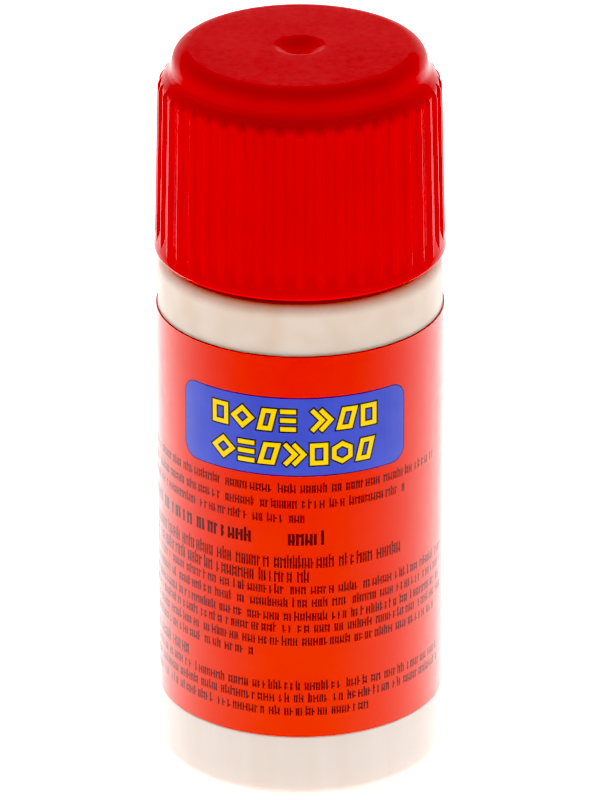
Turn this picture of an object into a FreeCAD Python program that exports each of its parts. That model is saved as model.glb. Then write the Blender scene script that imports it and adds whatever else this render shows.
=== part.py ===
import FreeCAD, Part
import math
import os
import re
import Sketcher

# Screw-capped glue bottle with a brush in its cap. Millimetres, +Z up, origin on the axis at the
# height of the surface the bottle stands on, front of the label facing -Y.

SIZES = {
    # blown body
    "body_radius": (11.46, "outside of the wall below the label"),
    "panel_radius": (11.38, "outside of the wall under the label"),
    "collar_radius": (11.35, "outside of the wall above the label"),
    "body_inner_radius": (10.55, "inside of the wall"),
    "base_corner": (1.0, "rounding where wall meets base"),
    "pushup_height": (0.9, "how far the middle of the base is pushed up"),
    "pushup_radius": (7.6, "flat middle of the base"),
    "ring_inner_radius": (8.8, "inner edge of the ring the bottle stands on"),
    "floor_height": (1.8, "inside floor"),
    "panel_low": (5.62, "lower edge of the label panel"),
    "panel_top": (39.1, "upper edge of the label panel"),
    "shoulder_edge": (43.15, "corner where wall meets shoulder, before rounding"),
    "shoulder_rise": (0.2, "rise of the shoulder towards the neck"),
    "shoulder_round": (1.0, "rounding of the shoulder"),
    "shoulder_wall": (0.9, "thickness of the shoulder"),
    "pinch_azimuth": (-66.0, "direction of the mould's parting plane, from +X"),
    "pinch_reach": (11.2, "half the length of the pinch-off bar"),
    "pinch_width": (0.35, "width of the pinch-off bar"),
    "pinch_height": (0.2, "lower face of the pinch-off bar"),
    "pinch_root": (0.2, "how far that bar runs into the base"),
    # neck finish, 20 mm class
    "neck_radius": (8.65, "neck wall outside"),
    "bore_radius": (7.4, "neck wall inside"),
    "rim_height": (57.2, "top of the neck"),
    "thread_pitch": (3.175, "eight threads to the inch"),
    "neck_thread_radius": (9.75, "crest of the neck's thread"),
    "neck_thread_start": (49.2, "middle of the neck thread's first section"),
    "neck_thread_turns": (1.5, "turns of the neck's thread"),
    "neck_thread_foot": (2.0, "width of the neck's thread at its root"),
    "neck_thread_crest": (0.8, "width of the neck's thread at its crest"),
    "thread_root": (0.2, "how far a thread's root runs into its wall"),
    # label
    "label_radius": (11.5, "outside of the label"),
    "label_low": (5.75, "lower edge of the label"),
    "label_top": (38.99, "upper edge of the label"),
    "label_seam": (2.0, "angle between the label's two ends"),
    # wiper
    "flange_radius": (8.65, "flange on the neck's rim"),
    "flange_thick": (0.75, "thickness of that flange"),
    "wiper_inner_radius": (6.7, "inside of the plug"),
    "wiper_low": (51.0, "lower end of the funnel"),
    "wiper_skirt": (2.0, "height of the funnel"),
    "orifice_radius": (2.5, "hole that strips the brush"),
    "orifice_wall": (0.6, "thickness of the funnel"),
    # cap
    "cap_low": (43.72, "lower edge of the cap"),
    "cap_top": (60.7, "top of the cap"),
    "lip_radius": (11.62, "smooth band at the cap's foot"),
    "lip_height": (1.25, "height of that band"),
    "lip_round": (0.35, "rounding of that band"),
    "lip_slope": (1.5, "height of the slope between the skirt and that band"),
    "lip_blend": (1.5, "rounding at both ends of that slope"),
    "crown_radius": (9.85, "raised middle of the cap, at the top"),
    "crown_foot": (10.25, "raised middle of the cap, at the ledge"),
    "crown_round": (1.3, "rounding of the crown"),
    "cove_round": (1.0, "hollow round the crown's foot"),
    "ledge_height": (58.3, "middle of the sloping ledge round the crown"),
    "ledge_drop": (0.9, "fall of that ledge from the crown to the skirt"),
    "ledge_round": (0.8, "rounding of the ledge"),
    "crest_top_radius": (11.22, "ribs' crests at the ledge"),
    "crest_low_radius": (11.54, "ribs' crests at the lip"),
    "rib_height": (0.22, "height of a rib above the skirt"),
    "rib_round": (0.65, "radius of a rib's section"),
    "rib_fade": (1.0, "distance below the ledge where a rib starts to sink into the skirt"),
    "rib_nose": (1.0, "radius of the curve along which it sinks"),
    "rib_tip": (0.1, "radius of the rib's buried end"),
    "rib_count": (44, "ribs round the cap"),
    "dimple_radius": (1.95, "rim of the dimple"),
    "dimple_floor": (0.7, "flat floor of the dimple"),
    "dimple_depth": (0.5, "depth of the dimple"),
    "dimple_round": (2.4, "rounding inside the dimple"),
    "dimple_rim": (0.8, "rounding of the dimple's rim"),
    "gate_radius": (0.22, "stub left by the mould's gate"),
    "gate_height": (0.05, "height of that stub"),
    "cap_bore": (10.05, "inside of the skirt, the root of its thread"),
    "mouth_radius": (10.5, "bevelled mouth of the cap"),
    "mouth_bevel": (0.7, "height of that bevel"),
    "recess_radius": (9.1, "narrow upper end of the cap's inside"),
    "recess_low": (56.3, "where the inside starts to narrow"),
    "ceiling": (59.2, "inside top of the cap"),
    "cap_thread_radius": (9.05, "crest of the cap's thread"),
    "cap_thread_turns": (2.0, "turns of the cap's thread"),
    "cap_thread_foot": (1.5, "width of the cap's thread at its root"),
    "cap_thread_crest": (0.6, "width of the cap's thread at its crest"),
    "boss_radius": (3.4, "socket boss outside"),
    "boss_low": (54.0, "lower end of the socket boss"),
    "socket_radius": (2.3, "socket for the stem's head"),
    # liner
    "liner_radius": (8.8, "outside of the washer"),
    "liner_thick": (1.15, "thickness of the washer"),
    "running_gap": (0.05, "gap of a running fit"),
    # brush
    "head_radius": (2.29, "head of the stem"),
    "head_top": (59.0, "top of that head"),
    "collar_out": (3.2, "collar under the socket"),
    "collar_thick": (0.8, "thickness of that collar"),
    "rod_top_radius": (2.0, "rod below the collar"),
    "rod_low_radius": (1.8, "rod at its lower end"),
    "rod_low": (18.0, "lower end of the rod"),
    "tuft_hole_radius": (1.25, "hole for the bristles"),
    "tuft_hole_depth": (4.5, "depth of that hole"),
    "tuft_root_radius": (1.2, "bundle inside the hole"),
    "tuft_belly_radius": (2.1, "widest part of the bundle"),
    "tuft_low": (5.0, "tip of the bundle"),
    "tuft_tip_radius": (0.45, "width of the tip"),
    "anchor_width": (2.4, "staple across the hole"),
    "anchor_thick": (0.35, "thickness of the staple"),
    "anchor_tall": (1.4, "height of the staple"),
    "anchor_low": (20.6, "lower edge of the staple"),
    # contents
    "fill_height": (36.2, "level of the glue"),
    "fill_gap": (0.03, "gap between the glue and the wall"),
    "well_radius": (2.6, "room in the glue for the brush"),
    "well_low": (4.4, "bottom of that room"),
}

doc = FreeCAD.newDocument("GlueBottle")
sheet = doc.addObject("Spreadsheet::Sheet", "Sizes")
for row, (alias, (number, note)) in enumerate(SIZES.items(), start=1):
    sheet.set(f"A{row}", alias)
    sheet.set(f"B{row}", str(number))
    sheet.setAlias(f"B{row}", alias)
    sheet.set(f"C{row}", note)
doc.recompute()


def bound(text):
    """The sum in text, with each size named through the sheet."""
    return re.sub(r"[a-z]\w+", lambda word: f"Sizes.{word[0]}" if word[0] in SIZES else word[0], text)


def value(text):
    """What that sum comes to."""
    return float(sheet.evalExpression(bound(text)))


def bind(feature, **properties):
    for name, text in properties.items():
        feature.setExpression(name, bound(text))


def new_body(label):
    body = doc.addObject("PartDesign::Body", label)
    body.Label = label
    return body


def origin(body, role):
    return next(item for item in body.Origin.OriginFeatures if item.Role == role)


def new_sketch(body, name, plane):
    sketch = body.newObject("Sketcher::SketchObject", name)
    sketch.AttachmentSupport = [(origin(body, plane), "")]
    sketch.MapMode = "FlatFace"
    return sketch


def pin_point(sketch, item, end, across, up):
    """Hold one end of a line at (across, up) from the sketch's origin."""
    for text, kind, axis in ((across, "DistanceX", -2), (up, "DistanceY", -1)):
        if text == "0":
            sketch.addConstraint(Sketcher.Constraint("PointOnObject", item, end, axis))
        else:
            rule = Sketcher.Constraint(kind, -1, 1, item, end, value(text))
            sketch.setExpression(f"Constraints[{sketch.addConstraint(rule)}]", bound(text))


def outline(body, name, corners, plane="XZ_Plane"):
    """Closed sketch of straight lines through corners, each (across, up) from the origin."""
    sketch = new_sketch(body, name, plane)
    points = [FreeCAD.Vector(value(across), value(up), 0) for across, up in corners]
    for start, end in zip(points, points[1:] + points[:1]):
        sketch.addGeometry(Part.LineSegment(start, end), False)
    for item, (across, up) in enumerate(corners):
        after = (item + 1) % len(corners)
        sketch.addConstraint(Sketcher.Constraint("Coincident", item, 2, after, 1))
        pin_point(sketch, item, 1, across, up)
    return sketch


def turned(body, name, corners, kind="PartDesign::Revolution", angle="360"):
    """A full turn, or part of one, of a (radius, height) outline about Z, added or cut away."""
    sketch = outline(body, f"{name}_outline", corners)
    feature = body.newObject(kind, name)
    feature.Profile = sketch
    feature.ReferenceAxis = (sketch, ["V_Axis"])
    bind(feature, Angle=angle)
    doc.recompute()
    return feature


def rounded(body, name, radius, *places):
    """Fillet the circular edges that lie at the given (radius, height) places."""
    base = body.Tip
    wanted = [(value(across), value(up)) for across, up in places]
    edges = []
    for number, edge in enumerate(base.Shape.Edges, start=1):
        curve = edge.Curve
        if isinstance(curve, Part.Circle) and any(
            abs(curve.Radius - across) < 1e-4 and abs(curve.Center.z - up) < 1e-4 for across, up in wanted
        ):
            edges.append(f"Edge{number}")
    if len(edges) != len(places):
        raise RuntimeError(f"{name}: found {len(edges)} of {len(places)} edges")
    fillet = body.newObject("PartDesign::Fillet", name)
    fillet.Base = (base, edges)
    bind(fillet, Radius=radius)
    doc.recompute()
    return fillet


def thread(body, name, wall, crest, start, foot_width, crest_width, turns):
    """Trapezoidal right-hand thread from its root inside the wall to its crest."""
    corners = (
        (wall, f"({start}) - ({foot_width}) / 2"),
        (crest, f"({start}) - ({crest_width}) / 2"),
        (crest, f"({start}) + ({crest_width}) / 2"),
        (wall, f"({start}) + ({foot_width}) / 2"),
    )
    sketch = outline(body, f"{name}_section", corners)
    helix = body.newObject("PartDesign::AdditiveHelix", name)
    helix.Profile = sketch
    helix.ReferenceAxis = (sketch, ["V_Axis"])
    helix.Mode = "pitch-turns-angle"
    bind(helix, Pitch="thread_pitch", Turns=turns)
    doc.recompute()
    return helix


def axial_box(body, name, low, wide, deep, tall, kind="PartDesign::Pad", azimuth=None):
    """Box centred on the axis, standing from low to low + tall, added or cut away."""
    half = ((1, 1), (-1, 1), (-1, -1), (1, -1))
    corners = [(f"{side} * ({wide}) / 2", f"{end} * ({deep}) / 2") for side, end in half]
    sketch = outline(body, f"{name}_outline", corners, "XY_Plane")
    turn = FreeCAD.Rotation(FreeCAD.Vector(0, 0, 1), value(azimuth) if azimuth else 0)
    sketch.AttachmentOffset = FreeCAD.Placement(FreeCAD.Vector(), turn)
    sketch.setExpression("AttachmentOffset.Base.z", bound(low))
    if azimuth:
        sketch.setExpression("AttachmentOffset.Rotation.Angle", bound(azimuth))
    box = body.newObject(kind, name)
    box.Profile = sketch
    bind(box, Length=tall)
    box.Reversed = kind == "PartDesign::Pocket"
    doc.recompute()
    return box


def make_bottle():
    body = new_body("bottle")
    shoulder_inside = "shoulder_edge - shoulder_wall"
    turned(body, "wall", (
        ("0", "pushup_height"),
        ("pushup_radius", "pushup_height"),
        ("ring_inner_radius", "0"),
        ("body_radius", "0"),
        ("body_radius", "panel_low"),
        ("panel_radius", "panel_low + body_radius - panel_radius"),
        ("panel_radius", "panel_top"),
        ("collar_radius", "panel_top + 3 * (panel_radius - collar_radius)"),
        ("collar_radius", "shoulder_edge"),
        ("neck_radius", "shoulder_edge + shoulder_rise"),
        ("neck_radius", "rim_height"),
        ("bore_radius", "rim_height"),
        ("bore_radius", f"{shoulder_inside} + shoulder_rise"),
        ("body_inner_radius - shoulder_round", shoulder_inside),
        ("body_inner_radius", f"{shoulder_inside} - shoulder_round"),
        ("body_inner_radius", "floor_height"),
        ("0", "floor_height"),
    ))
    rounded(body, "base_round", "base_corner", ("body_radius", "0"), ("body_inner_radius", "floor_height"))
    rounded(body, "shoulder_rounding", "shoulder_round", ("collar_radius", "shoulder_edge"))
    thread(body, "neck_thread", "neck_radius - thread_root", "neck_thread_radius",
           "neck_thread_start", "neck_thread_foot", "neck_thread_crest", "neck_thread_turns")
    axial_box(body, "pinch_off", "pinch_height", "2 * pinch_reach", "pinch_width",
              "pushup_height - pinch_height + pinch_root", azimuth="pinch_azimuth")
    return body


def make_label():
    body = new_body("wrap_label")
    turned(body, "strip", (
        ("panel_radius", "label_low"),
        ("label_radius", "label_low"),
        ("label_radius", "label_top"),
        ("panel_radius", "label_top"),
    ), angle="360 - label_seam")
    seam_at_back = 90 + value("label_seam") / 2
    body.Placement = FreeCAD.Placement(FreeCAD.Vector(), FreeCAD.Rotation(FreeCAD.Vector(0, 0, 1), seam_at_back))
    return body


def make_wiper():
    body = new_body("neck_wiper")
    turned(body, "plug", (
        ("wiper_inner_radius", "rim_height + flange_thick"),
        ("flange_radius", "rim_height + flange_thick"),
        ("flange_radius", "rim_height"),
        ("bore_radius", "rim_height"),
        ("bore_radius", "wiper_low + wiper_skirt"),
        ("orifice_radius + orifice_wall", "wiper_low"),
        ("orifice_radius", "wiper_low"),
        ("orifice_radius", "wiper_low + orifice_wall"),
        ("wiper_inner_radius", "wiper_low + wiper_skirt + orifice_wall"),
    ))
    return body


def make_rib(body):
    """One grip rib: a slim round bar that leans with the skirt and sinks into it below the ledge."""
    low = "cap_low + lip_height / 2"
    top = "ledge_height - rib_fade"
    lean = f"atan((crest_low_radius - crest_top_radius) / ({top} - ({low})))"
    sketch = new_sketch(body, "rib_outline", "XZ_Plane")
    radius, length = value("rib_round"), value(f"{top} - ({low})")
    nose, blunt = value("rib_nose"), value("rib_tip")
    sweep = math.acos((nose - radius + blunt) / nose)
    foot, side = FreeCAD.Vector(radius, 0, 0), FreeCAD.Vector(radius, length, 0)
    tip = FreeCAD.Vector(blunt, length + nose * math.sin(sweep), 0)
    head = FreeCAD.Vector(0, tip.y, 0)
    curve = Part.Circle(FreeCAD.Vector(radius - nose, length, 0), FreeCAD.Vector(0, 0, 1), nose)
    for item in (
        Part.LineSegment(FreeCAD.Vector(), foot),
        Part.LineSegment(foot, side),
        Part.ArcOfCircle(curve, 0, sweep),
        Part.LineSegment(tip, head),
        Part.LineSegment(head, FreeCAD.Vector()),
    ):
        sketch.addGeometry(item, False)
    for rule in (
        ("Coincident", 0, 1, -1, 1),
        ("Coincident", 0, 2, 1, 1),
        ("Tangent", 1, 2, 2, 1),
        ("Coincident", 2, 2, 3, 1),
        ("Coincident", 3, 2, 4, 1),
        ("Coincident", 4, 2, 0, 1),
        ("Horizontal", 0),
        ("Vertical", 1),
        ("Horizontal", 3),
        ("Vertical", 4),
    ):
        sketch.addConstraint(Sketcher.Constraint(*rule))
    for rule, text in (
        (("DistanceX", 0, 1, 0, 2, radius), "rib_round"),
        (("DistanceY", 1, 1, 1, 2, length), f"{top} - ({low})"),
        (("Radius", 2, nose), "rib_nose"),
        (("DistanceX", 3, 2, 3, 1, blunt), "rib_tip"),
    ):
        number = sketch.addConstraint(Sketcher.Constraint(*rule))
        sketch.setExpression(f"Constraints[{number}]", bound(text))
    sketch.AttachmentOffset = FreeCAD.Placement(
        FreeCAD.Vector(), FreeCAD.Rotation(FreeCAD.Vector(0, 0, 1), value(lean)))
    sketch.setExpression("AttachmentOffset.Base.x", bound("crest_low_radius - rib_round"))
    sketch.setExpression("AttachmentOffset.Base.y", bound(low))
    sketch.setExpression("AttachmentOffset.Rotation.Angle", bound(lean))
    rib = body.newObject("PartDesign::Revolution", "rib")
    rib.Profile = sketch
    rib.ReferenceAxis = (sketch, ["V_Axis"])
    bind(rib, Angle="360")
    doc.recompute()
    return rib


def make_cap():
    body = new_body("cap_shell")
    lip_top = "cap_low + lip_height"
    turned(body, "outside", (
        ("0", "cap_top - dimple_depth + gate_height"),
        ("gate_radius", "cap_top - dimple_depth + gate_height"),
        ("gate_radius", "cap_top - dimple_depth"),
        ("dimple_floor", "cap_top - dimple_depth"),
        ("dimple_radius", "cap_top"),
        ("crown_radius", "cap_top"),
        ("crown_foot", "ledge_height + ledge_drop / 2"),
        ("crest_top_radius - rib_height", "ledge_height - ledge_drop / 2"),
        ("crest_low_radius - rib_height", f"{lip_top} + lip_slope / 2"),
        ("lip_radius", f"{lip_top} - lip_slope / 2"),
        ("lip_radius", "cap_low"),
        ("0", "cap_low"),
    ))
    rounded(body, "crown_rounding", "crown_round", ("crown_radius", "cap_top"))
    rounded(body, "cove", "cove_round", ("crown_foot", "ledge_height + ledge_drop / 2"))
    rounded(body, "ledge_rounding", "ledge_round",
            ("crest_top_radius - rib_height", "ledge_height - ledge_drop / 2"))
    rounded(body, "lip_blending", "lip_blend",
            ("crest_low_radius - rib_height", f"{lip_top} + lip_slope / 2"),
            ("lip_radius", f"{lip_top} - lip_slope / 2"))
    rounded(body, "lip_rounding", "lip_round", ("lip_radius", "cap_low"))
    rounded(body, "dimple_dish", "dimple_round", ("dimple_floor", "cap_top - dimple_depth"))
    rounded(body, "dimple_edge", "dimple_rim", ("dimple_radius", "cap_top"))
    rib = make_rib(body)
    ribs = body.newObject("PartDesign::PolarPattern", "ribs")
    ribs.Originals = [rib]
    ribs.Axis = (origin(body, "Z_Axis"), [""])
    ribs.Angle = 360
    bind(ribs, Occurrences="rib_count")
    body.Tip = ribs
    doc.recompute()
    hollow = turned(body, "inside", (
        ("0", "cap_low"),
        ("mouth_radius", "cap_low"),
        ("cap_bore", "cap_low + mouth_bevel"),
        ("cap_bore", "recess_low"),
        ("recess_radius", "recess_low + cap_bore - recess_radius"),
        ("recess_radius", "ceiling"),
        ("boss_radius", "ceiling"),
        ("boss_radius", "boss_low"),
        ("socket_radius", "boss_low"),
        ("socket_radius", "ceiling"),
        ("0", "ceiling"),
    ), kind="PartDesign::Groove")
    if hollow.Shape.Volume > 0.7 * ribs.Shape.Volume:
        raise RuntimeError("the cap's inside was not cut")
    thread(body, "cap_thread", "cap_bore + thread_root", "cap_thread_radius",
           "neck_thread_start - thread_pitch / 2", "cap_thread_foot", "cap_thread_crest",
           "cap_thread_turns")
    return body


def make_liner():
    body = new_body("cap_liner")
    low = "rim_height + flange_thick + running_gap"
    turned(body, "washer", (
        ("boss_radius + running_gap", low),
        ("liner_radius", low),
        ("liner_radius", f"{low} + liner_thick"),
        ("boss_radius + running_gap", f"{low} + liner_thick"),
    ))
    return body


def make_stem():
    body = new_body("brush_stem")
    turned(body, "rod", (
        ("0", "head_top"),
        ("head_radius", "head_top"),
        ("head_radius", "boss_low"),
        ("collar_out", "boss_low"),
        ("collar_out", "boss_low - collar_thick"),
        ("rod_top_radius", "boss_low - collar_thick"),
        ("rod_low_radius", "rod_low"),
        ("tuft_hole_radius", "rod_low"),
        ("tuft_hole_radius", "rod_low + tuft_hole_depth"),
        ("0", "rod_low + tuft_hole_depth"),
    ))
    return body


def make_tuft():
    body = new_body("bristle_tuft")
    free_length = "(rod_low - tuft_low)"
    whole = turned(body, "bundle", (
        ("0", "tuft_low"),
        ("tuft_tip_radius", "tuft_low"),
        ("tuft_belly_radius * 0.75", f"tuft_low + {free_length} * 0.25"),
        ("tuft_belly_radius", f"tuft_low + {free_length} * 0.5"),
        ("tuft_belly_radius * 0.85", f"tuft_low + {free_length} * 0.8"),
        ("tuft_root_radius", "rod_low"),
        ("tuft_root_radius", "rod_low + tuft_hole_depth - running_gap"),
        ("0", "rod_low + tuft_hole_depth - running_gap"),
    ))
    slot = axial_box(body, "fold_slot", "anchor_low", "2 * tuft_hole_radius", "anchor_thick", "anchor_tall",
                     kind="PartDesign::Pocket")
    if slot.Shape.Volume >= whole.Shape.Volume:
        raise RuntimeError("the slot for the staple was not cut")
    return body


def make_anchor():
    """Flat staple across the hole, upright between the two halves of the folded bundle."""
    box = doc.addObject("Part::Box", "tuft_anchor")
    box.Label = "tuft_anchor"
    bind(box, Length="anchor_width", Width="anchor_thick", Height="anchor_tall")
    corner = (-value("anchor_width") / 2, -value("anchor_thick") / 2, value("anchor_low"))
    box.Placement.Base = FreeCAD.Vector(*corner)
    return box


def make_fill():
    body = new_body("glue_fill")
    low = "floor_height + fill_gap"
    side = "body_inner_radius - fill_gap"
    turned(body, "liquid", (
        ("0", low),
        (f"{side} - base_corner", low),
        (side, f"{low} + base_corner"),
        (side, "fill_height"),
        ("well_radius", "fill_height"),
        ("well_radius", "well_low"),
        ("0", "well_low"),
    ))
    return body


PARTS = [
    make_bottle(),
    make_label(),
    make_wiper(),
    make_cap(),
    make_liner(),
    make_stem(),
    make_tuft(),
    make_anchor(),
    make_fill(),
]
doc.recompute()

for item in doc.Objects:
    if {"Invalid", "Error"} & set(item.State):
        raise RuntimeError(f"{item.Label}: {item.State}")
for part in PARTS:
    if part.Shape.isNull() or not part.Shape.isValid() or len(part.Shape.Solids) != 1:
        raise RuntimeError(f"{part.Label}: no single valid solid")

os.makedirs("parts", exist_ok=True)
for part in PARTS:
    part.Shape.exportStep(f"parts/{part.Label}.step")
    print(part.Label, round(part.Shape.Volume, 1), "mm3")
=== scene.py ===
import math
import random

import bmesh
import bpy
from mathutils import Euler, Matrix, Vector, noise


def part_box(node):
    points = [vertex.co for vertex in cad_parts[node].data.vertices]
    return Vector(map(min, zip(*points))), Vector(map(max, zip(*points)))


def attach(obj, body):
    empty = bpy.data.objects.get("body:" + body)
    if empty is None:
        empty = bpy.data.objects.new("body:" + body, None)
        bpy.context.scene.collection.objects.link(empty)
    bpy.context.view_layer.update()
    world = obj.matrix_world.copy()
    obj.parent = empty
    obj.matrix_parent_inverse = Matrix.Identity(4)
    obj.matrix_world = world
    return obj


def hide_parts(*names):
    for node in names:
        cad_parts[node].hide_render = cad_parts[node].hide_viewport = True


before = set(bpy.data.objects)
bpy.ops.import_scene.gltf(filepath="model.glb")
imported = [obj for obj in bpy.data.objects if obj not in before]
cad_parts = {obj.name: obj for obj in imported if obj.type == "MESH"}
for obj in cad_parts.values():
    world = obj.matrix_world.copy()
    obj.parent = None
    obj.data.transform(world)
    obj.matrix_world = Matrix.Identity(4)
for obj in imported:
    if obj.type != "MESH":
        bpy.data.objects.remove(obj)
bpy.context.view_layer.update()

# Lengths in metres, angles in degrees, in the frame's own axes: the front of the label faces -Y.
MM = 0.001
LABEL_LOW, LABEL_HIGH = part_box("wrap_label")
LABEL_RADIUS = LABEL_HIGH.x
TUFT_LOW, TUFT_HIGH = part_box("bristle_tuft")
STEM_LOW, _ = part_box("brush_stem")
CAP_LOW, CAP_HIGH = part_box("cap_shell")


# ---------------------------------------------------------------- shader helpers

def new_material(name, base, roughness, **sockets):
    """Principled material; further sockets are set by name, with _ for each space."""
    material = bpy.data.materials.new(name)
    material.use_nodes = True
    shader = material.node_tree.nodes["Principled BSDF"]
    shader.inputs["Base Color"].default_value = (*base, 1)
    shader.inputs["Roughness"].default_value = roughness
    for socket, setting in sockets.items():
        shader.inputs[socket.replace("_", " ")].default_value = setting
    return material


def node(material, kind, **settings):
    """New node; each setting goes to the input of that name, or else to the property."""
    made = material.node_tree.nodes.new(kind)
    for name, setting in settings.items():
        if name in made.inputs:
            made.inputs[name].default_value = setting
        else:
            setattr(made, name, setting)
    return made


def link(material, source, target):
    material.node_tree.links.new(source, target)


def feed(material, socket, setting):
    """Set a socket to a number or a colour, or link another node's output to it."""
    if isinstance(setting, bpy.types.NodeSocket):
        link(material, setting, socket)
    elif isinstance(setting, tuple):
        socket.default_value = (*setting, 1)
    else:
        socket.default_value = setting


def shader_of(material):
    return material.node_tree.nodes["Principled BSDF"]


def place(material):
    """Coordinates on the piece itself, in metres."""
    return node(material, "ShaderNodeTexCoord").outputs["Object"]


def speckle(material, size, detail=3.0, stretch=(1, 1, 1)):
    """Noise from 0 to 1 with lumps about size across; stretch above 1 squeezes it along that axis."""
    mapping = node(material, "ShaderNodeMapping")
    mapping.inputs["Scale"].default_value = stretch
    texture = node(material, "ShaderNodeTexNoise", Scale=1 / size, Detail=detail, Roughness=0.55)
    link(material, place(material), mapping.inputs["Vector"])
    link(material, mapping.outputs["Vector"], texture.inputs["Vector"])
    return texture.outputs["Fac"]


def spread(material, value, low, high, start=0.3, end=0.7):
    """value, from start to end, mapped to low to high; low may be another node's output."""
    ramp = node(material, "ShaderNodeMapRange")
    feed(material, ramp.inputs["Value"], value)
    feed(material, ramp.inputs["From Min"], start)
    feed(material, ramp.inputs["From Max"], end)
    feed(material, ramp.inputs["To Min"], low)
    feed(material, ramp.inputs["To Max"], high)
    return ramp.outputs["Result"]


def mixed(material, factor, first, second):
    """Colour from first to second as factor goes from 0 to 1; either may be another node's output."""
    mix = node(material, "ShaderNodeMix", data_type="RGBA")
    link(material, factor, mix.inputs["Factor"])
    ends = [socket for socket in mix.inputs if socket.type == "RGBA"]
    for end, colour in zip(ends, (first, second)):
        feed(material, end, colour)
    return next(socket for socket in mix.outputs if socket.type == "RGBA")


def tint(material, factor, first, second):
    """Base colour that goes from first to second as factor goes from 0 to 1."""
    link(material, mixed(material, factor, first, second), shader_of(material).inputs["Base Color"])


def height_on(material):
    """Height on the piece, in metres: at rest, its height above the table."""
    split = node(material, "ShaderNodeSeparateXYZ")
    link(material, place(material), split.inputs["Vector"])
    return split.outputs["Z"]


def relief(material, height, depth):
    """Surface relief of the given depth in metres."""
    bump = node(material, "ShaderNodeBump", Strength=1.0, Distance=depth)
    link(material, height, bump.inputs["Height"])
    link(material, bump.outputs["Normal"], shader_of(material).inputs["Normal"])


def varied(name, first, second, grain, roughness, polish, depth, **sockets):
    """Moulded or printed surface: colour drifts between two tones, roughness from roughness to polish."""
    material = new_material(name, first, roughness, **sockets)
    tint(material, spread(material, speckle(material, grain * 12), 0, 1), first, second)
    gloss = spread(material, speckle(material, grain * 5), roughness, polish)
    link(material, gloss, shader_of(material).inputs["Roughness"])
    relief(material, speckle(material, grain), depth)
    return material


# ---------------------------------------------------------------- materials

def cap_plastic():
    """Red polypropylene: polished ribs and lip, the crown a rougher satin whose colour is painted paler
    and blotchy, a painted reflection of the bright surroundings.
    """
    crown_low, crown_high, dulling = CAP_HIGH.z - 1.4 * MM, CAP_HIGH.z - 0.5 * MM, 0.24
    material = new_material("cap_red", (0.62, 0.003, 0.005), 0.3, Specular_IOR_Level=0.25)
    clouds = spread(material, speckle(material, 6 * MM), 0, 1)
    crown = spread(material, height_on(material), 0, 1, crown_low, crown_high)
    polished = mixed(material, clouds, (0.62, 0.002, 0.004), (0.67, 0.003, 0.006))
    # painted reflection: the crown's colour is paler in blotches, standing in for the pale haze it mirrors
    painted_haze = mixed(material, clouds, (0.62, 0.043, 0.045), (0.67, 0.048, 0.05))
    tint(material, crown, polished, painted_haze)
    satin = node(material, "ShaderNodeMath", operation="MULTIPLY_ADD")
    link(material, crown, satin.inputs[0])
    satin.inputs[1].default_value = dulling
    link(material, spread(material, speckle(material, 0.5 * MM), 0.15, 0.185), satin.inputs[2])
    link(material, satin.outputs["Value"], shader_of(material).inputs["Roughness"])
    relief(material, speckle(material, 0.16 * MM), 0.003 * MM)
    return material


def bottle_plastic():
    """Natural blow-moulded polyethylene: milky and warm, clouded and streaked; painted light makes it
    paler at the foot and darker and warmer on the collar, with a painted peach glow from just under the
    cap's lip.
    """
    glow_low, glow_high = CAP_LOW.z - 1.0 * MM, CAP_LOW.z + 0.1 * MM
    material = new_material("natural_polyethylene", (0.68, 0.59, 0.52), 0.34, Specular_IOR_Level=0.35,
                            Subsurface_Weight=0.8, Subsurface_Scale=1.6 * MM)
    shader_of(material).inputs["Subsurface Radius"].default_value = (1.0, 0.8, 0.65)
    up = spread(material, height_on(material), 0, 1, LABEL_LOW.z, LABEL_HIGH.z)
    streaks = spread(material, speckle(material, 2.5 * MM, stretch=(1, 1, 0.12)), 0, 1)
    clouds = spread(material, speckle(material, 3.2 * MM, 1.0), 0, 1, 0.35, 0.65)
    # painted light: the foot's tones are paler, as if lit from the table; the collar's are darker and
    # warmer, painted shade and red light from the cap
    foot = mixed(material, streaks, (0.69, 0.61, 0.555), (0.72, 0.65, 0.605))
    shaded_collar = mixed(material, clouds, (0.685, 0.56, 0.472), (0.725, 0.618, 0.54))
    # painted glow: from just under the cap's lip upwards, over the neck too, the colour turns a paler
    # peach in place of the shadow there
    lip = spread(material, height_on(material), 0, 1, glow_low, glow_high)
    tint(material, up, foot, mixed(material, lip, shaded_collar, (0.84, 0.71, 0.60)))
    gloss = spread(material, speckle(material, 1.2 * MM), 0.28, 0.4)
    link(material, gloss, shader_of(material).inputs["Roughness"])
    relief(material, speckle(material, 0.8 * MM, stretch=(1, 1, 0.4)), 0.008 * MM)
    return material


def print_on_film(name, first, second):
    """Ink under the label's clear varnish."""
    return varied(name, first, second, grain=0.25 * MM, roughness=0.3, polish=0.36,
                  depth=0.003 * MM, Coat_Weight=0.7, Coat_Roughness=0.16, Coat_IOR=1.55)


def label_ink():
    """The label's red under the same varnish, a shade more orange towards the foot."""
    low, high = (0.67, 0.03, 0.002), (0.67, 0.018, 0.002)
    material = print_on_film("label_red", low, high)
    drift = node(material, "ShaderNodeMath", operation="MULTIPLY_ADD")
    link(material, spread(material, speckle(material, 3 * MM), -0.15, 0.15), drift.inputs[0])
    drift.inputs[1].default_value = 1.0
    up = spread(material, height_on(material), 0, 1, LABEL_LOW.z, LABEL_HIGH.z)
    link(material, up, drift.inputs[2])
    tint(material, drift.outputs["Value"], low, high)
    return material


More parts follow.
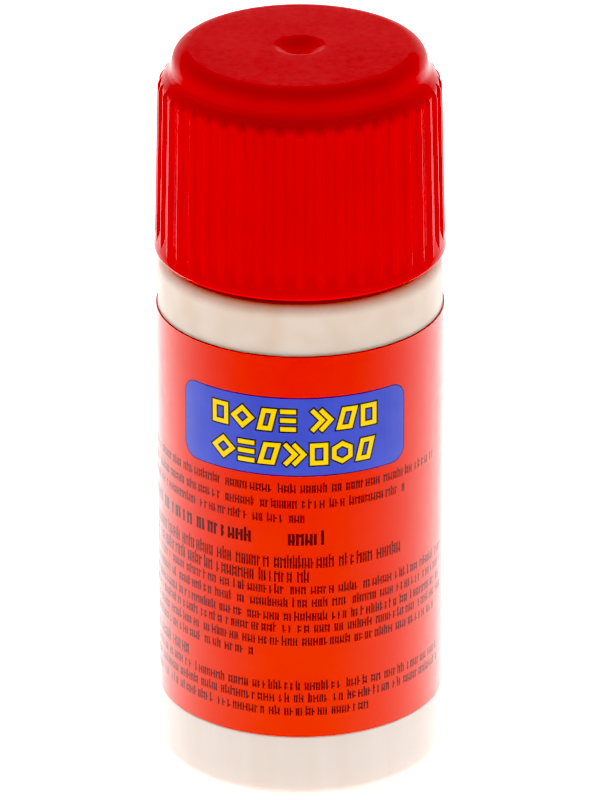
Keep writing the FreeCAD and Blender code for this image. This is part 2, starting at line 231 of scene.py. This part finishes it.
def bristle_nylon():
    """Pale nylon, stained unevenly along each filament."""
    material = new_material("bristle_nylon", (0.75, 0.68, 0.54), 0.3, Subsurface_Weight=0.2,
                            Subsurface_Scale=0.2 * MM)
    stain = spread(material, speckle(material, 0.6 * MM, stretch=(1, 1, 0.1)), 0, 1)
    tint(material, stain, (0.62, 0.52, 0.36), (0.8, 0.74, 0.62))
    relief(material, speckle(material, 0.05 * MM), 0.002 * MM)
    return material


def liquid_glue():
    """Clear honey-coloured liquid, a little darker in places."""
    material = new_material("liquid_glue", (0.9, 0.78, 0.52), 0.05, Transmission_Weight=0.85, IOR=1.47)
    depth = spread(material, speckle(material, 3 * MM), 0, 1)
    tint(material, depth, (0.9, 0.76, 0.5), (0.95, 0.85, 0.62))
    return material


def anchor_metal():
    """Drawn brass strip with fine lines along it."""
    material = new_material("staple_brass", (0.8, 0.6, 0.28), 0.3, Metallic=1.0)
    tarnish = spread(material, speckle(material, 0.3 * MM), 0, 1)
    tint(material, tarnish, (0.72, 0.52, 0.22), (0.84, 0.66, 0.34))
    relief(material, speckle(material, 0.05 * MM, stretch=(1, 1, 0.1)), 0.004 * MM)
    return material


MATERIALS = {
    "bottle": bottle_plastic(),
    "cap_shell": cap_plastic(),
    "neck_wiper": varied("soft_polyethylene", (0.78, 0.78, 0.74), (0.84, 0.83, 0.79),
                         grain=0.4 * MM, roughness=0.4, polish=0.5, depth=0.006 * MM,
                         Subsurface_Weight=0.4, Subsurface_Scale=1.5 * MM),
    "cap_liner": varied("foam_washer", (0.8, 0.8, 0.77), (0.9, 0.9, 0.87),
                        grain=0.12 * MM, roughness=0.7, polish=0.85, depth=0.03 * MM),
    "brush_stem": varied("stem_plastic", (0.66, 0.65, 0.61), (0.72, 0.71, 0.67),
                         grain=0.5 * MM, roughness=0.3, polish=0.38, depth=0.006 * MM,
                         Subsurface_Weight=0.3, Subsurface_Scale=1.0 * MM),
    "tuft_anchor": anchor_metal(),
    "glue_fill": liquid_glue(),
}
LABEL_RED = label_ink()
BADGE_BLUE = print_on_film("badge_blue", (0.05, 0.07, 0.46), (0.06, 0.085, 0.52))
BADGE_EDGE = print_on_film("badge_edge", (0.05, 0.008, 0.10), (0.06, 0.010, 0.13))
TITLE_YELLOW = print_on_film("title_yellow", (0.82, 0.53, 0.008), (0.88, 0.58, 0.012))
INK_DARK = print_on_film("ink_dark", (0.015, 0.014, 0.012), (0.03, 0.024, 0.02))
PAPER_WHITE = print_on_film("paper_white", (0.62, 0.6, 0.57), (0.68, 0.67, 0.64))
TEXT_INK = print_on_film("text_ink", (0.06, 0.002, 0.002), (0.085, 0.003, 0.003))


# ---------------------------------------------------------------- mesh helpers

def new_piece(name, builder, material, body, smooth=True):
    """Object from a finished bmesh, riding on a CAD body."""
    mesh = bpy.data.meshes.new(name)
    bmesh.ops.recalc_face_normals(builder, faces=builder.faces)
    builder.to_mesh(mesh)
    builder.free()
    mesh.materials.append(material)
    if smooth:
        mesh.shade_smooth()
    piece = bpy.data.objects.new(name, mesh)
    bpy.context.scene.collection.objects.link(piece)
    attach(piece, body)
    return piece


def on_label(arc, height, depth):
    """Point arc metres to the right of the label's front line, depth metres out of its face."""
    turn = arc / LABEL_RADIUS
    radius = LABEL_RADIUS + depth
    return Vector((radius * math.sin(turn), -radius * math.cos(turn), height))


def rounded(corners, radius, steps=5):
    """Convex outline, counter-clockwise, with its corners rounded."""
    outline = []
    for before, corner, after in zip(corners[-1:] + corners[:-1], corners, corners[1:] + corners[:1]):
        corner = Vector(corner)
        into = (Vector(before) - corner).normalized()
        away = (Vector(after) - corner).normalized()
        half = into.angle(away) / 2
        centre = corner + (into + away).normalized() * radius / math.sin(half)
        first = corner + into * radius / math.tan(half) - centre
        last = corner + away * radius / math.tan(half) - centre
        for step in range(steps + 1):
            outline.append(centre + first.slerp(last, step / steps) * radius)
    return outline


def grown(corners, amount):
    """Convex outline, counter-clockwise, with every side moved out by amount."""
    moved = []
    for before, corner, after in zip(corners[-1:] + corners[:-1], corners, corners[1:] + corners[:1]):
        corner = Vector(corner)
        into = (Vector(before) - corner).normalized()
        away = (Vector(after) - corner).normalized()
        moved.append(corner - (into + away).normalized() * amount / math.sin(into.angle(away) / 2))
    return moved


def span(outline, across):
    """Lowest and highest point of a convex outline on the upright line at across."""
    heights = []
    for (x0, y0), (x1, y1) in zip(outline, outline[1:] + outline[:1]):
        if x0 != x1 and min(x0, x1) <= across <= max(x0, x1):
            heights.append(y0 + (y1 - y0) * (across - x0) / (x1 - x0))
    return min(heights), max(heights)


def inlay(name, outlines, depth, material):
    """Ink on the label: closed solids over flat convex outlines of (arc, height), bent round it."""
    sunk, strip, inset = -0.01 * MM, 0.4 * MM, 0.001 * MM
    builder = bmesh.new()
    for outline in outlines:
        low = min(point[0] for point in outline) + inset
        high = max(point[0] for point in outline) - inset
        lines = {cut * strip for cut in range(math.ceil(low / strip), math.floor(high / strip) + 1)}
        lines |= {point[0] for point in outline if low < point[0] < high} | {low, high}
        rings = []
        for across in sorted(lines):
            under, over = span(outline, across)
            corners = ((under, sunk), (over, sunk), (over, depth), (under, depth))
            rings.append([builder.verts.new(on_label(across, height, out)) for height, out in corners])
        for left, right in zip(rings, rings[1:]):
            for corner in range(4):
                after = (corner + 1) % 4
                builder.faces.new((left[corner], right[corner], right[after], left[after]))
        builder.faces.new(rings[0])
        builder.faces.new(rings[-1])
    return new_piece(name, builder, material, "bottle", smooth=False)


# ---------------------------------------------------------------- label

def label_sheet():
    """Printed strip round the body, its outer end lapped over its inner end at the back."""
    around, rows = 384, 30
    lap, step_over = math.radians(22), math.radians(5)
    thick, curl_depth, curl_reach = 0.105 * MM, 0.02 * MM, 0.5
    start = math.pi + lap / 2
    builder = bmesh.new()
    sheet = []
    for column in range(around + 1):
        share = column / around
        turn = start + share * (2 * math.pi + lap)
        past = (share * (2 * math.pi + lap) - 2 * math.pi + step_over) / step_over
        lift = thick * 1.05 * max(0.0, min(1.0, past)) ** 2
        ring = []
        for row in range(rows + 1):
            height = LABEL_LOW.z + (LABEL_HIGH.z - LABEL_LOW.z) * row / rows
            edge = min(height - LABEL_LOW.z, LABEL_HIGH.z - height) / MM
            wave = 0.5 + noise.noise(Vector((share * 9, edge, 3)))
            curl = curl_depth * math.exp(-edge / curl_reach) * wave
            radius = LABEL_RADIUS + lift + curl
            spot = Vector((math.sin(turn), -math.cos(turn), 0))
            outer = spot * radius + Vector((0, 0, height))
            inner = spot * (radius - thick) + Vector((0, 0, height))
            ring.append((builder.verts.new(outer), builder.verts.new(inner)))
        sheet.append(ring)
    for left, right in zip(sheet, sheet[1:]):
        for row in range(rows):
            over = row + 1
            for side in (0, 1):
                builder.faces.new((left[row][side], right[row][side], right[over][side], left[over][side]))
        for row in (0, rows):
            builder.faces.new((left[row][0], right[row][0], right[row][1], left[row][1]))
    for ring in (sheet[0], sheet[-1]):
        for low, high in zip(ring, ring[1:]):
            builder.faces.new((low[0], high[0], high[1], low[1]))
    piece = new_piece("label_sheet", builder, LABEL_RED, "bottle")
    piece.data.set_sharp_from_angle(angle=math.radians(40))
    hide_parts("wrap_label")


def badge():
    """Blue field with rounded corners and a dark edge, behind the title."""
    left, right, low, top = -10.42 * MM, 9.05 * MM, 28.8 * MM, 35.4 * MM
    corners = [(left, low), (right, low), (right, top), (left, top)]
    inlay("badge_border", [rounded(grown(corners, 0.1 * MM), 1.3 * MM, 8)], 0.004 * MM, BADGE_EDGE)
    inlay("badge_field", [rounded(corners, 1.2 * MM, 8)], 0.008 * MM, BADGE_BLUE)


# Plain shapes drawn with one even line in a unit square: (closed, points).
SHAPES = {
    "bars": ((False, ((0, 0), (1, 0))), (False, ((0, 0.5), (1, 0.5))), (False, ((0, 1), (1, 1)))),
    "box": ((True, ((0, 0), (1, 0), (1, 1), (0, 1))),),
    "gem": ((True, ((0.5, 0), (1, 0.5), (0.5, 1), (0, 0.5))),),
    "hexagon": ((True, ((0.5, 0), (1, 0.25), (1, 0.75), (0.5, 1), (0, 0.75), (0, 0.25))),),
    "slant": ((True, ((0, 0), (0.7, 0), (1, 1), (0.3, 1))),),
    "chevrons": ((False, ((0, 0), (0.5, 0.5), (0, 1))), (False, ((0.5, 0), (1, 0.5), (0.5, 1)))),
}


def drawn(points, closed, width, overrun):
    """Quads of the given width along a line, mitred where they meet; loose ends run on by overrun."""
    points = [Vector(point) for point in points]
    if not closed:
        points[0] += (points[0] - points[1]).normalized() * overrun
        points[-1] += (points[-1] - points[-2]).normalized() * overrun
    count = len(points)
    edges = []
    for index, point in enumerate(points):
        before = points[index - 1] if closed or index else None
        after = points[(index + 1) % count] if closed or index < count - 1 else None
        into = (point - before).normalized() if before else (after - point).normalized()
        away = (after - point).normalized() if after else into
        square = Vector((-into.y, into.x))
        mitre = (square + Vector((-away.y, away.x))).normalized()
        edges.append((point, mitre * (width / 2) / mitre.dot(square)))
    pairs = list(zip(edges, edges[1:] + edges[:1]))
    return [[a - across, b - beyond, b + beyond, a + across]
            for (a, across), (b, beyond) in (pairs if closed else pairs[:-1])]


def title():
    """Two rows of plain yellow line shapes with a dark edge, set like a title but spelling nothing."""
    line, edge, tall, margin = 0.37 * MM, 0.13 * MM, 1.88 * MM, -7.4 * MM
    # Each row: its lower edge, then every sign with its width, in mm; None leaves a space.
    rows = (
        (32.6, ("box", 1.45), ("gem", 1.9), ("slant", 1.55), ("bars", 1.25), (None, 0.6),
         ("chevrons", 1.75), ("slant", 1.7), ("box", 1.4)),
        (29.68, ("gem", 2.0), ("bars", 1.4), ("slant", 1.8), ("chevrons", 1.75), ("box", 1.45),
         ("hexagon", 1.7), ("slant", 1.6)),
    )
    fills, borders = [], []
    for low, *signs in rows:
        left = margin
        for sign, wide in signs:
            for closed, points in SHAPES.get(sign, ()):
                laid = [(left + line / 2 + (wide * MM - line) * x,
                         low * MM + line / 2 + (tall - line) * y) for x, y in points]
                fills += drawn(laid, closed, line, line / 2)
                borders += drawn(laid, closed, line + 2 * edge, line / 2 + edge)
            left += (wide + 0.3) * MM
    inlay("title_edge", borders, 0.010 * MM, INK_DARK)
    inlay("title_shapes", fills, 0.015 * MM, TITLE_YELLOW)


def small_print():
    """Rows of little posts and dashes, grouped like words, in the place and weight of small print."""
    pick = random.Random(12)
    gap, between = 0.02 * MM, 0.1 * MM
    # Height, width and stroke of a sign, in mm.
    plain, capital, bold = (0.68, 0.38, 0.11), (0.92, 0.42, 0.12), (1.0, 0.58, 0.22)
    # Each row: the height of its middle in mm, its first and last angle in degrees, its weight.
    rows = (
        (27.6, -104, 69, plain), (26.25, -104, 46, plain), (25.0, -104, 3, plain),
        (23.2, -104, -17, bold), (23.2, -5, 12, bold),
        (21.15, -104, 45, capital), (19.9, -104, 4, capital),
        (18.75, -104, 76, plain), (17.6, -104, 77, plain), (16.4, -104, 74, plain),
        (15.35, -104, 78, plain), (14.2, -104, 68, plain), (13.1, -104, -18, plain),
        (11.5, -104, -50, capital),
        (10.25, -104, 72, plain), (9.15, -104, 73, plain), (8.0, -104, 30, plain),
        (34.0, 108, 150, bold), (32.0, 108, 158, capital),
    )
    rows += tuple((30.4 - 1.15 * line, 108, 164 - 17 * (line % 5 == 4), plain) for line in range(10))
    rows += tuple((17.0 - 1.15 * line, 200, 250 - 20 * (line % 4 == 3), plain) for line in range(8))
    strokes = []

    def block(left, low, wide, tall):
        strokes.append([(left, low), (left + wide, low), (left + wide, low + tall), (left, low + tall)])

    for height, start, end, (tall, wide, thick) in rows:
        tall, wide, thick = tall * MM, wide * MM, thick * MM
        low = height * MM - tall / 2
        arc, last = math.radians(start) * LABEL_RADIUS, math.radians(end) * LABEL_RADIUS
        while arc < last:
            for _ in range(pick.randint(2, 10)):
                broad = wide * pick.uniform(0.75, 1.1)
                if arc + broad > last:
                    break
                rise = pick.choice((1, 1, 1, 1, 1.25))
                block(arc, low, thick, tall * rise)
                if pick.random() < 0.75:
                    block(arc + broad - thick, low, thick, tall)
                for level in pick.choice(((0.22,), (0.72,), (0.22, 0.72), (0.45,))):
                    block(arc + thick + gap, low + tall * level, broad - 2 * (thick + gap), thick)
                arc += broad + between
            arc += wide * 0.8
    inlay("small_print", strokes, 0.004 * MM, TEXT_INK)


def stock_code():
    """Pale field with upright bars, on the side of the label that the photograph doesn't show."""
    pick = random.Random(5)
    left, low = math.radians(204) * LABEL_RADIUS, 20.5 * MM
    wide, tall, margin = 9.4 * MM, 12.5 * MM, 0.8 * MM
    field = [(left, low), (left + wide, low), (left + wide, low + tall), (left, low + tall)]
    inlay("code_field", [rounded(field, 0.4 * MM)], 0.004 * MM, PAPER_WHITE)
    bars, across = [], left + margin
    while across < left + wide - margin:
        thick = pick.choice((0.11, 0.11, 0.22, 0.33)) * MM
        foot, head = low + margin, low + tall - margin
        bars.append([(across, foot), (across + thick, foot), (across + thick, head), (across, head)])
        across += thick + pick.choice((0.11, 0.11, 0.22)) * MM
    inlay("code_bars", bars, 0.008 * MM, INK_DARK)


# ---------------------------------------------------------------- brush

def bristles():
    """Folded bundle of fine filaments that bellies out below the stem and draws in to a soft point."""
    pick = random.Random(7)
    count, sides, rings, thick = 240, 5, 12, 0.055 * MM
    bound, swell, draw = 1.08, 0.92, 0.62
    root, mouth, tip = TUFT_HIGH.z - 1.6 * MM, STEM_LOW.z, TUFT_LOW.z
    golden = math.pi * (3 - math.sqrt(5))
    builder = bmesh.new()
    for index in range(count):
        reach = math.sqrt((index + 0.5) / count)
        turn = index * golden
        bow = pick.uniform(-0.25, 0.25)
        end = tip + abs(pick.gauss(0, 0.5)) * MM + 1.6 * MM * reach ** 2
        loops = []
        for ring in range(rings + 1):
            share = ring / rings
            height = root + (end - root) * share
            below = max(0.0, min(1.0, (mouth - height) / (mouth - tip)))
            belly = bound + swell * math.sin(math.pi * below ** 0.8) - draw * below ** 2
            radius = belly * MM * reach
            swing = turn + bow * below
            centre = Vector((radius * math.cos(swing), radius * math.sin(swing), height))
            width = thick * (1 - 0.55 * share ** 4)
            loops.append([
                builder.verts.new(centre + Vector((math.cos(side), math.sin(side), 0)) * width)
                for side in (2 * math.pi * corner / sides for corner in range(sides))
            ])
        for above, under in zip(loops, loops[1:]):
            for corner in range(sides):
                after = (corner + 1) % sides
                builder.faces.new((above[corner], above[after], under[after], under[corner]))
        builder.faces.new(loops[0])
        builder.faces.new(loops[-1])
    piece = new_piece("bristles", builder, bristle_nylon(), "cap")
    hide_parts("bristle_tuft")


# ---------------------------------------------------------------- stage

def camera():
    """Long lens above the front, looking down on the bottle."""
    elevation, roll = math.radians(24.18), -0.0019
    aim, distance = Vector((-0.03 * MM, 0, 30.18 * MM)), 604.06 * MM
    data = bpy.data.cameras.new("camera")
    data.lens = 339
    data.sensor_width = 36
    made = bpy.data.objects.new("camera", data)
    bpy.context.scene.collection.objects.link(made)
    made.location = aim + Vector((0, -math.cos(elevation), math.sin(elevation))) * distance
    turn = Euler((math.pi / 2 - elevation, 0, 0)).to_quaternion() @ Euler((0, 0, roll)).to_quaternion()
    made.rotation_euler = turn.to_euler()
    bpy.context.scene.camera = made


def softbox(name, azimuth, elevation, distance, width, height, power):
    """Area light that faces the middle of the bottle, too diffuse to show in its gloss."""
    data = bpy.data.lights.new(name, "AREA")
    data.shape = "RECTANGLE"
    data.size, data.size_y, data.energy = width, height, power
    made = bpy.data.objects.new(name, data)
    bpy.context.scene.collection.objects.link(made)
    turn, rise = math.radians(azimuth), math.radians(elevation)
    away = Vector((math.sin(turn) * math.cos(rise), -math.cos(turn) * math.cos(rise), math.sin(rise)))
    middle = Vector((0, 0, CAP_HIGH.z / 2))
    made.location = middle + away * distance
    made.rotation_euler = away.to_track_quat("Z", "Y").to_euler()
    made.visible_glossy = False


def floor():
    """Pale light table, brightest under the bottle: it lights the upright walls from below."""
    half = 1.5
    near, bright = 20 * MM, 1.42
    far, pale = 150 * MM, 1.1
    builder = bmesh.new()
    bmesh.ops.create_grid(builder, x_segments=2, y_segments=2, size=half)
    mesh = bpy.data.meshes.new("floor")
    builder.to_mesh(mesh)
    builder.free()
    made = bpy.data.objects.new("floor", mesh)
    bpy.context.scene.collection.objects.link(made)
    material = new_material("pale_table", (0.6, 0.6, 0.6), 0.6)
    shader_of(material).inputs["Emission Color"].default_value = (1, 1, 1, 1)
    reach = node(material, "ShaderNodeVectorMath", operation="LENGTH")
    link(material, place(material), reach.inputs[0])
    glow = spread(material, reach.outputs["Value"], bright, pale, near, far)
    link(material, glow, shader_of(material).inputs["Emission Strength"])
    mesh.materials.append(material)


def surroundings():
    """Bright backdrop behind, darker camera side, dim ceiling; the camera itself sees plain white."""
    world = bpy.data.worlds.new("room")
    bpy.context.scene.world = world
    world.use_nodes = True
    split = node(world, "ShaderNodeSeparateXYZ")
    link(world, node(world, "ShaderNodeTexCoord").outputs["Generated"], split.inputs["Vector"])
    backdrop = spread(world, split.outputs["Y"], 0.75, 1.5, -0.3, 0.7)
    wall = spread(world, split.outputs["Z"], backdrop, 0.25, 0.3, 0.75)
    path = node(world, "ShaderNodeLightPath")
    level = spread(world, path.outputs["Is Camera Ray"], wall, 1.2, 0.0, 1.0)
    back = world.node_tree.nodes["Background"]
    back.inputs["Color"].default_value = (1, 1, 1, 1)
    link(world, level, back.inputs["Strength"])


def exposure():
    """The photograph's own contrast: whites blown out, and its deepest haze clipped to nothing."""
    view = bpy.context.scene.view_settings
    view.view_transform = "Standard"
    view.use_curve_mapping = True
    view.curve_mapping.black_level = (0.13, 0.13, 0.13)
    view.curve_mapping.update()


camera()
floor()
surroundings()
softbox("back_light", azimuth=176, elevation=55, distance=0.6, width=0.5, height=0.25, power=1.55)
softbox("front_light", azimuth=-10, elevation=52, distance=0.7, width=0.5, height=0.25, power=0.45)
exposure()

for name, material in MATERIALS.items():
    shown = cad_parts[name]
    shown.data.materials.clear()
    shown.data.materials.append(material)
label_sheet()
badge()
title()
small_print()
stock_code()
bristles()
